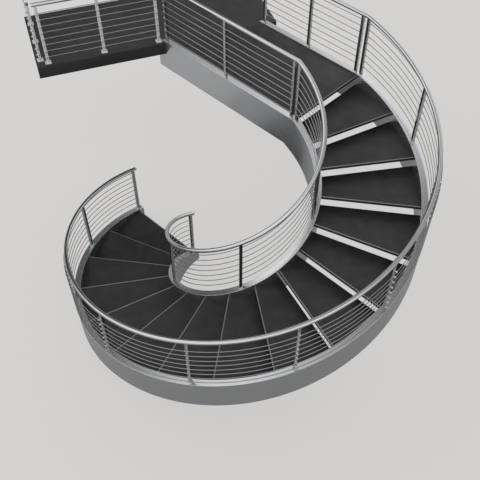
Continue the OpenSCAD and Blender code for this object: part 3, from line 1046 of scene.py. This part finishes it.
class STAIR_OT_stringers(bpy.types.Operator):
    """Models both stringers as smooth welded boxes with rounded edges."""

    bl_idname = "stair.stringers"
    bl_label = "Stringers"

    def execute(self, context):
        stair = context.scene.stair
        layout = Layout(stair)
        for side in SIDES:
            piece = dress(build_stringer(layout, side), coat_surface(stair.finish))
            hand_over(piece, f"{side}_stringer_box",
                      [f"{side}_stringer", f"{side}_landing_stringer"])
        return {"FINISHED"}


def carve_rebate(layout, obj, height):
    """Cuts the rebate for a nosing strip along a front edge."""
    treads = layout.stair.treads
    carve(obj, new_box((layout.middle, 0, height),
                       (layout.away, 2 * treads.nosing_width, 2 * treads.nosing_depth)))


def build_tread(layout):
    """One wedge tread whose nosing lies along X, with its rebate for the strip."""
    flight = layout.stair.flight
    treads = layout.stair.treads
    obj = new_section((layout.middle, 0, -treads.thickness / 2), layout.away - layout.near,
                      treads.thickness)
    sweep(obj, flight.tread_turn, 0.0, facets(flight.tread_turn, FINE_FACET))
    close(obj)
    last = Vector((math.cos(flight.tread_turn), math.sin(flight.tread_turn), 0))
    back = Vector((-last.y, last.x, 0))
    pick_facing(obj, back)
    extrude(back * treads.lap)
    close(obj)
    carve_rebate(layout, obj, 0)
    round_edges(obj, treads.edge)
    return smooth(obj)


class STAIR_OT_treads(bpy.types.Operator):
    """Models one wedge tread and copies it up the flight."""

    bl_idname = "stair.treads"
    bl_label = "Treads"

    def execute(self, context):
        stair = context.scene.stair
        layout = Layout(stair)
        tread = dress(build_tread(layout), charcoal_surface(stair.finish))
        for i in range(stair.flight.tread_count):
            twin = copy_at(tread, layout.at_flight(i))
            hand_over(twin, f"tread_board_{i + 1}", [f"tread_{i + 1}"])
        bpy.data.objects.remove(tread)
        return {"FINISHED"}


class STAIR_OT_landing_deck(bpy.types.Operator):
    """Models the landing deck, cut to the platform's skew."""

    bl_idname = "stair.landing_deck"
    bl_label = "Landing deck"

    def execute(self, context):
        stair = context.scene.stair
        layout = Layout(stair)
        treads = stair.treads
        run = stair.landing.run
        obj = new_box((layout.middle, run / 2, layout.landing_top - treads.thickness / 2),
                      (layout.away - layout.near, run, treads.thickness))
        pick_all(obj)
        skew = stair.platform.skew
        cut((layout.inner_face, run, 0), (math.sin(skew), math.cos(skew), 0))
        carve_rebate(layout, obj, layout.landing_top)
        round_edges(obj, treads.edge)
        settle(obj, layout.at_landing())
        dress(smooth(obj), charcoal_surface(stair.finish))
        hand_over(obj, "landing_deck_board", ["landing_deck"])
        return {"FINISHED"}


class STAIR_OT_nosings(bpy.types.Operator):
    """Models one grooved strip and copies it to every nosing."""

    bl_idname = "stair.nosings"
    bl_label = "Nosing strips"

    def execute(self, context):
        stair = context.scene.stair
        layout = Layout(stair)
        treads = stair.treads
        width = treads.nosing_width
        groove = treads.groove
        strip = new_box((layout.middle, width / 2, -treads.nosing_depth / 2),
                        (layout.away - layout.near, width, treads.nosing_depth))
        cutter = new_box((layout.middle, width / 3, 0), (layout.away, groove, 2 * groove))
        stack(cutter, 2, (0, width / 3, 0))
        carve(strip, cutter)
        round_edges(strip, groove / 4, segments=1)
        dress(smooth(strip), strip_surface(stair.finish))
        matrices = [layout.at_flight(i) for i in range(stair.flight.tread_count + 1)]
        piece = row("nosing_inserts", strip, matrices)
        hand_over(piece, "nosing_inserts", ["nosing_strips"])
        return {"FINISHED"}


class STAIR_OT_platform(bpy.types.Operator):
    """Models the upper platform's slab with eased edges and a pocket for each landing stringer."""

    bl_idname = "stair.platform"
    bl_label = "Platform"

    def execute(self, context):
        stair = context.scene.stair
        layout = Layout(stair)
        sizes = stair.platform
        right = (layout.outer_face - layout.inner_face) / math.cos(sizes.skew) + sizes.right
        slab = new_box(((right - sizes.left) / 2, sizes.depth / 2, -sizes.thickness / 2),
                       (right + sizes.left, sizes.depth, sizes.thickness))
        round_edges(slab, 2 * stair.treads.edge, segments=3)
        settle(slab, layout.at_platform(0, 0, layout.landing_top))
        gap = stair.landing.pocket_gap
        run = stair.landing.run
        for side in SIDES:
            room = new_box((layout.line(side), run, layout.landing_top),
                           (stair.stringers.width + 2 * gap, run, 3 * sizes.thickness))
            pick_all(room)
            back = Vector((math.sin(sizes.skew), math.cos(sizes.skew), 0))
            front = Vector((layout.inner_face, run, 0))
            cut(front + back * (stair.landing.reach + gap), back)
            settle(room, layout.at_landing())
            carve(slab, room)
        dress(smooth(slab), charcoal_surface(stair.finish))
        hand_over(slab, "platform_floor", ["platform_slab"])
        return {"FINISHED"}


def build_bolt(radius, height, centre):
    """A round-headed bolt with a socket, standing on a flat surface."""
    obj = new_disc(FITTING_SIDES, radius, height, (centre[0], centre[1], centre[2] + height / 2))
    pick_facing(obj, (0, 0, 1))
    bpy.ops.mesh.bevel(offset=height * BOLT_EASE, segments=2)
    pick_facing(obj, (0, 0, 1))
    bpy.ops.mesh.inset(thickness=radius * SOCKET_RIM)
    extrude((0, 0, -height * SOCKET_DEPTH))
    leave_edit()
    return obj


def build_holder(stair, out, end, height):
    """A round rod holder on a post's free face, ending at a distance from the post's middle."""
    start = stair.posts.width / 2 - stair.posts.corner
    radius = stair.rails.holder_radius
    centre = (out * (start + end) / 2, 0, height)
    obj = new_disc(FITTING_SIDES, radius, end - start, centre, (0, QUARTER, 0))
    pick_facing(obj, (out, 0, 0))
    bpy.ops.mesh.bevel(offset=radius * HOLDER_EASE, segments=2)
    leave_edit()
    return obj


def build_flange(posts, platform):
    """A square base flange with two bolts."""
    thickness = platform.flange_thickness
    plate = new_box((0, 0, thickness / 2), (platform.flange, platform.flange, thickness))
    round_uprights(plate, 2 * posts.corner)
    round_edges(plate, posts.flange_edge, segments=1)
    reach = (platform.flange + posts.width) / 4
    return plate, [build_bolt(posts.bolt_radius, posts.bolt_height, (0, sign * reach, thickness))
                   for sign in (-1, 1)]


def build_post(layout, slope, seat, height, levels, out, offset=None):
    """A post with its weld and rod holders. One with no offset gets collars and a base flange."""
    stair = layout.stair
    posts = stair.posts
    rails = stair.rails
    half = posts.width / 2
    tilt = Matrix.Rotation(slope, 4, "X")
    up = tilt @ Vector((0, 0, 1))
    steel_parts = []
    bright_parts = []
    surface = satin_surface
    if offset is None:
        surface = blasted_surface
        plate, bolts = build_flange(posts, stair.platform)
        steel_parts.append(plate)
        bright_parts.extend(bolts)
        seat = stair.platform.flange_thickness
    tube = new_box((0, 0, height / 2), (posts.width, posts.width, 2 * height))
    round_uprights(tube, posts.corner)
    pick_all(tube)
    cut((0, 0, height - rails.rail_diameter / 4), up)
    pick_all(tube)
    cut(up * seat, -up)
    weld = posts.corner
    foot = posts.width + 2 * weld
    bead = new_box((0, 0, seat + weld / 2), (foot, foot / math.cos(slope), weld))
    pick_facing(bead, (0, 0, 1))
    shrink = (posts.width + weld / 4) / foot
    bpy.ops.transform.resize(value=(shrink, shrink, 1))
    steel_parts += [tube, settle(bead, tilt)]
    for level in levels:
        if offset is None:
            bright_parts.append(build_holder(stair, out, half + posts.knob_length, level))
            bright_parts += [new_disc(COLLAR_SIDES, posts.collar_radius, posts.collar_length,
                                      (0, sign * half, level), (QUARTER, 0, 0)) for sign in (-1, 1)]
        else:
            bright_parts.append(build_holder(stair, out, offset + rails.holder_past, level))
    for part in steel_parts:
        dress(part, surface(stair.finish))
    for part in bright_parts:
        dress(part, fixing_surface(stair.finish))
    post = join("post", steel_parts + bright_parts)
    mark_grain(post, lambda point: (point.z, point.x, point.y))
    return smooth(turn_outwards(post), degrees=35)


class STAIR_OT_posts(bpy.types.Operator):
    """Models one post for each row and copies it along the row."""

    bl_idname = "stair.posts"
    bl_label = "Posts"

    def execute(self, context):
        stair = context.scene.stair
        layout = Layout(stair)
        rails = stair.rails
        rise = stair.stringers.rise
        landing_rows = []
        for side, out in SIDES.items():
            line = layout.line(side)
            offset = getattr(rails, f"{side}_offset")
            post = build_post(layout, layout.slope(line), getattr(stair.posts, f"{side}_seat"),
                              layout.post_height, layout.rod_levels(side), out, offset)
            frames = [layout.at_flight(s, line, rise) for s in layout.post_places(side)]
            hand_over(row("posts", post, frames), f"{side}_post_row",
                      [f"{side}_posts"])
            post = build_post(layout, 0.0, 0.0, layout.post_height, layout.rod_levels(), out,
                              offset)
            frames = [layout.at_landing(line, t, layout.stringer_top)
                      for t in layout.landing_places(side)]
            landing_rows.append(row("posts", post, frames))
        hand_over(join("posts", landing_rows), "landing_post_row", ["landing_posts"])
        post = build_post(layout, 0.0, 0.0, rails.rail_height, layout.platform_levels(), -1)
        rows = layout.platform_rows()
        half_turn = Matrix.Rotation(math.pi, 4, "Z")
        frames = [place @ half_turn for place in rows["front"]] + rows["side"]
        hand_over(row("posts", post, frames), "platform_post_row",
                  ["platform_posts"])
        return {"FINISHED"}


def build_handrail(layout, side):
    """A handrail in the landing's frame: a helix over the flight, mitred to a straight run."""
    stair = layout.stair
    line = layout.line(side)
    rails = stair.rails
    radius = rails.rail_diameter / 2
    slope = layout.slope(line)
    top = layout.rail_top
    places = (stair.flight.tread_count - layout.post_places(side)[0]
              + layout.treads(rails.overhang, line))
    turn = places * stair.flight.tread_turn
    ring = new_ring(RAIL_SIDES, radius, (line, 0, top), slope / 2, 1 / math.cos(slope / 2))
    spare = radius / line
    sweep(ring, -turn - spare, -(turn + spare) / stair.flight.tread_turn * stair.flight.riser,
          facets(turn, FINE_FACET))
    start = Vector((line * math.cos(turn), -line * math.sin(turn),
                    top - places * stair.flight.riser))
    downhill = Vector((-math.sin(turn) * math.cos(slope), -math.cos(turn) * math.cos(slope),
                       -math.sin(slope)))
    pick(ring, "VERT", lambda v: (v.co - start).length < 4 * radius)
    cut(start, downhill, fill=False)
    pick(ring, "VERT", lambda v: abs(v.co.y) < radius and v.co.x > 0
         and abs(v.co.z - top) < 2 * radius
         and abs(v.co.y - (top - v.co.z) * math.tan(slope / 2)) < EPS)
    last = layout.landing_places(side)[-1] + rails.overhang
    extrude((0, last + radius, 0))
    pick(ring, "VERT", lambda v: v.co.y > radius and abs(v.co.z - top) < 2 * radius)
    bpy.ops.mesh.select_more()
    cut((0, last, 0), (0, 1, 0), fill=False)
    finish_tube(ring, radius)
    return mark_grain(ring, along_flight(layout, line, top))


def build_tube(run, radius):
    """A straight tube along Y with eased ends."""
    tube = new_ring(RAIL_SIDES, radius, (0, 0, 0))
    pick_all(tube)
    extrude((0, run, 0))
    finish_tube(tube, radius)
    return mark_straight_grain(tube)


class STAIR_OT_handrails(bpy.types.Operator):
    """Models the two handrails of the stair and the two of the platform."""

    bl_idname = "stair.handrails"
    bl_label = "Handrails"

    def execute(self, context):
        stair = context.scene.stair
        layout = Layout(stair)
        steel = satin_surface(stair.finish)
        for side in SIDES:
            rail = settle(build_handrail(layout, side), layout.at_landing())
            hand_over(dress(smooth(rail), steel), f"{side}_handrail_tube",
                      [f"{side}_handrail"])
        overhang = stair.platform.overhang
        start = Matrix.Translation((0, -overhang, stair.rails.rail_height))
        tubes = []
        for frames in layout.platform_rows().values():
            run = (frames[-1].translation - frames[0].translation).length
            tube = build_tube(run + 2 * overhang, stair.rails.rail_diameter / 2)
            tubes.append(settle(tube, frames[0] @ start))
        both = join("rails", tubes)
        hand_over(dress(smooth(both), steel), "platform_handrail_tubes",
                  ["platform_handrails"])
        return {"FINISHED"}


def build_flight_rods(layout, side):
    """The rods of one bay, from post to post, with the upper post at the landing nosing."""
    stair = layout.stair
    line = layout.rod_line(side)
    levels = layout.rod_levels(side)
    places = layout.post_places(side)
    step = places[1] - places[0]
    level = layout.stringer_top + levels[0]
    rods = new_ring(ROD_SIDES, stair.rails.rod_diameter / 2, (line, 0, level),
                    stretch=1 / math.cos(layout.slope(line)))
    stack(rods, len(levels), (0, 0, levels[1] - levels[0]))
    turn = step * stair.flight.tread_turn
    sweep(rods, -turn, -step * stair.flight.riser, facets(turn, ROD_FACET))
    close(rods)
    mark_grain(rods, along_flight(layout, line, level))
    lift = Matrix.Translation((0, 0, -layout.landing_top))
    return settle(rods, lift)


def build_straight_rods(layout, run, levels):
    """The rods of one straight bay along Y."""
    rods = new_ring(ROD_SIDES, layout.stair.rails.rod_diameter / 2, (0, 0, levels[0]))
    pick_all(rods)
    extrude((0, run, 0))
    close(rods)
    stack(rods, len(levels), (0, 0, levels[1] - levels[0]))
    return mark_straight_grain(rods)


def hand_over_rods(layout, name, bay, frames, nodes):
    """Copies the rods of one bay along their row and ties the row to the construction model."""
    smooth(dress(bay, rod_surface(layout.stair.finish)), degrees=45)
    hand_over(row("rods", bay, frames), name, nodes)


class STAIR_OT_rods(bpy.types.Operator):
    """Models the rods of one bay for each row and copies them from bay to bay."""

    bl_idname = "stair.rods"
    bl_label = "Rods"

    def execute(self, context):
        layout = Layout(context.scene.stair)
        for side in SIDES:
            places = layout.post_places(side)
            hand_over_rods(layout, f"{side}_rod_row", build_flight_rods(layout, side),
                           [layout.at_flight(s) for s in places[1:]],
                           [f"{side}_rods_{i}" for i in range(1, len(places))])
            places = layout.landing_places(side)
            line = layout.rod_line(side)
            bay = build_straight_rods(layout, places[1] - places[0], layout.rod_levels())
            hand_over_rods(layout, f"{side}_landing_rod_row", bay,
                           [layout.at_landing(line, t, layout.stringer_top) for t in places[:-1]],
                           [f"{side}_landing_rods"])
        for edge, frames in layout.platform_rows().items():
            run = (frames[1].translation - frames[0].translation).length
            bay = build_straight_rods(layout, run, layout.platform_levels())
            hand_over_rods(layout, f"{edge}_platform_rod_row", bay, frames[:-1],
                           [f"{edge}_platform_rods"])
        return {"FINISHED"}


class STAIR_OT_foot(bpy.types.Operator):
    """Finishes the foot plate and sets its anchor bolts."""

    bl_idname = "stair.foot"
    bl_label = "Foot plate"

    def execute(self, context):
        stair = context.scene.stair
        layout = Layout(stair)
        sizes = stair.foot
        for slot in frame["nodes"]["foot_plate"].material_slots:
            slot.material = coat_surface(stair.finish)
        flight = stair.flight
        reach = (flight.outer_radius - flight.inner_radius) / 2 - sizes.inset
        bottoms = {"washer": 0.0, "nut": sizes.washer_height,
                   "stud": sizes.stud_top - sizes.stud_height}
        parts = []
        for kind, bottom in bottoms.items():
            radius, height, edge = (getattr(sizes, f"{kind}_{size}")
                                    for size in ("radius", "height", "edge"))
            part = new_disc(ANCHOR_SIDES[kind], radius, height, (0, 0, bottom + height / 2))
            parts.append(round_edges(part, edge, segments=1))
        anchor = join("anchor", parts)
        smooth(dress(anchor, fixing_surface(stair.finish)))
        matrices = []
        for sign in (-1, 1):
            for i in range(sizes.count):
                turn = layout.foot_turn() + (i + 0.5) * 2 * math.pi / sizes.count
                centre = layout.foot_direction() * sign * reach
                centre += Vector((math.cos(turn), math.sin(turn), 0)) * sizes.circle
                matrices.append(Matrix.Translation(centre + Vector((0, 0, FOOT_PLATE_TOP))))
        hand_over(row("anchors", anchor, matrices), "foot_anchors")
        return {"FINISHED"}


class STAIR_OT_stage(bpy.types.Operator):
    """Lays the pale floor, hangs the lamp and places the camera."""

    bl_idname = "stair.stage"
    bl_label = "Stage"

    def execute(self, context):
        stage = context.scene.stair.stage
        make_floor(stage)
        make_world(context.scene, stage)
        make_lamp(context.scene, stage)
        make_camera(context.scene, stage)
        context.scene.view_settings.view_transform = "Standard"
        return {"FINISHED"}


def make_floor(stage):
    """A floor that shows as its plain colour and keeps the shadow of the stair; in metal it shows a
    painted shade round the stair.
    """
    select_only()
    bpy.ops.mesh.primitive_plane_add(size=stage.floor_size, location=(0, 0, 0))
    floor = bpy.context.active_object
    floor.name = "floor"
    surface, tree, shader, place = new_surface("Pale floor")
    shader["Base Color"].default_value = solid(stage.floor)
    shader["Roughness"].default_value = 1.0
    shader["Specular IOR Level"].default_value = 0.0
    glow = add_node(tree, "ShaderNodeEmission")
    path = add_node(tree, "ShaderNodeLightPath").outputs
    # Painted shade: in glossy rays the floor's colour darkens with nearness to the shade centre.
    away = add_measure(tree, "DISTANCE", place, stage.shade_centre)
    near = add_range(tree, away, stage.shade_core, stage.shade_rim, stage.reflected_floor_shade, 1.0)
    shaded = add_mix(tree, near, (0.0, 0.0, 0.0, 1.0), solid(stage.floor))
    shown = add_mix(tree, path["Is Glossy Ray"], solid(stage.floor), shaded)
    connect(tree, shown, glow.inputs["Color"])
    seen = add_math(tree, "MAXIMUM", path["Is Camera Ray"], path["Is Glossy Ray"])
    seen = add_math(tree, "MAXIMUM", seen, path["Is Transmission Ray"])
    mix = add_node(tree, "ShaderNodeMixShader")
    parts = (add_math(tree, "MULTIPLY", seen, stage.floor_glow),
             tree.nodes["Principled BSDF"].outputs[0], glow.outputs[0])
    connect_all(tree, parts, mix.inputs)
    connect(tree, mix.outputs[0], tree.nodes["Material Output"].inputs["Surface"])
    floor.data.materials.append(surface)


def add_patch(tree, direction, stage, kind):
    """Brightness that falls to a level in one round patch of the room."""
    side, up, core, rim, level = (getattr(stage, f"{kind}_{part}")
                                  for part in ("side", "up", "core", "rim", "level"))
    middle = (math.cos(side) * math.cos(up), math.sin(side) * math.cos(up), math.sin(up))
    towards = add_measure(tree, "DOT_PRODUCT", direction, middle)
    return add_range(tree, towards, math.cos(rim), math.cos(core), 1.0, level)


def make_world(scene, stage):
    """A soft bright room, dark behind the landing and darker on the right and overhead."""
    world = bpy.data.worlds.new("Soft room")
    scene.world = world
    world.use_nodes = True
    tree = world.node_tree
    direction = add_node(tree, "ShaderNodeTexCoord").outputs["Generated"]
    level = stage.room_level
    for kind in ("dark", "dim", "top"):
        level = add_math(tree, "MULTIPLY", add_patch(tree, direction, stage, kind), level)
    lit = add_node(tree, "ShaderNodeCombineColor")
    connect_all(tree, (level, level, level), lit.inputs)
    path = add_node(tree, "ShaderNodeLightPath").outputs
    seen = add_mix(tree, path["Is Camera Ray"], lit.outputs[0], solid(stage.floor))
    connect(tree, seen, tree.nodes["Background"].inputs["Color"])


def make_lamp(scene, stage):
    """A broad key light from the upper left, which does not show in the metal."""
    data = bpy.data.lights.new("key", "AREA")
    data.size = stage.lamp_size
    data.energy = stage.lamp_power
    lamp = bpy.data.objects.new("key", data)
    lamp.location = stage.lamp
    view = Vector(stage.lamp_target) - lamp.location
    lamp.rotation_euler = view.to_track_quat("-Z", "Y").to_euler()
    lamp.visible_glossy = False
    scene.collection.objects.link(lamp)


def make_camera(scene, stage):
    """The camera, looking down on the stair from its front."""
    data = bpy.data.cameras.new("camera")
    data.sensor_width = 36.0
    data.lens = stage.lens
    data.clip_end = stage.floor_size
    camera = bpy.data.objects.new("camera", data)
    turn = Matrix.Rotation(QUARTER - stage.pitch, 4, "X") @ Matrix.Rotation(stage.roll, 4, "Z")
    camera.matrix_world = Matrix.Translation(stage.camera) @ turn
    scene.collection.objects.link(camera)
    scene.camera = camera


OPERATORS = (STAIR_OT_stage, STAIR_OT_stringers, STAIR_OT_treads, STAIR_OT_landing_deck,
             STAIR_OT_nosings, STAIR_OT_platform, STAIR_OT_posts, STAIR_OT_handrails, STAIR_OT_rods,
             STAIR_OT_foot)


class STAIR_PT_panel(bpy.types.Panel):
    """Sizes of the stair and the steps that build it."""

    bl_idname = "STAIR_PT_panel"
    bl_label = "Curved open stair"
    bl_space_type = "VIEW_3D"
    bl_region_type = "UI"
    bl_category = "Stair"

    def draw(self, context):
        stair = context.scene.stair
        for part in stair.bl_rna.properties.keys()[2:]:
            box = self.layout.box()
            box.label(text=part.capitalize())
            group = getattr(stair, part)
            for name in group.bl_rna.properties.keys()[2:]:
                box.prop(group, name)
        for operator in OPERATORS:
            self.layout.operator(operator.bl_idname)


CLASSES = (StairFlight, StairStringers, StairTreads, StairRails, StairPosts, StairLanding,
           StairPlatform, StairFoot, StairFinish, StairStage, StairSettings, *OPERATORS,
           STAIR_PT_panel)


def register():
    for cls in CLASSES:
        bpy.utils.register_class(cls)
    bpy.types.Scene.stair = bpy.props.PointerProperty(type=StairSettings)


def unregister():
    del bpy.types.Scene.stair
    for cls in reversed(CLASSES):
        bpy.utils.unregister_class(cls)


def main():
    """Builds every piece."""
    register()
    for operator in OPERATORS:
        getattr(bpy.ops.stair, operator.bl_idname.split(".")[1])()


if __name__ == "__main__":
    main()
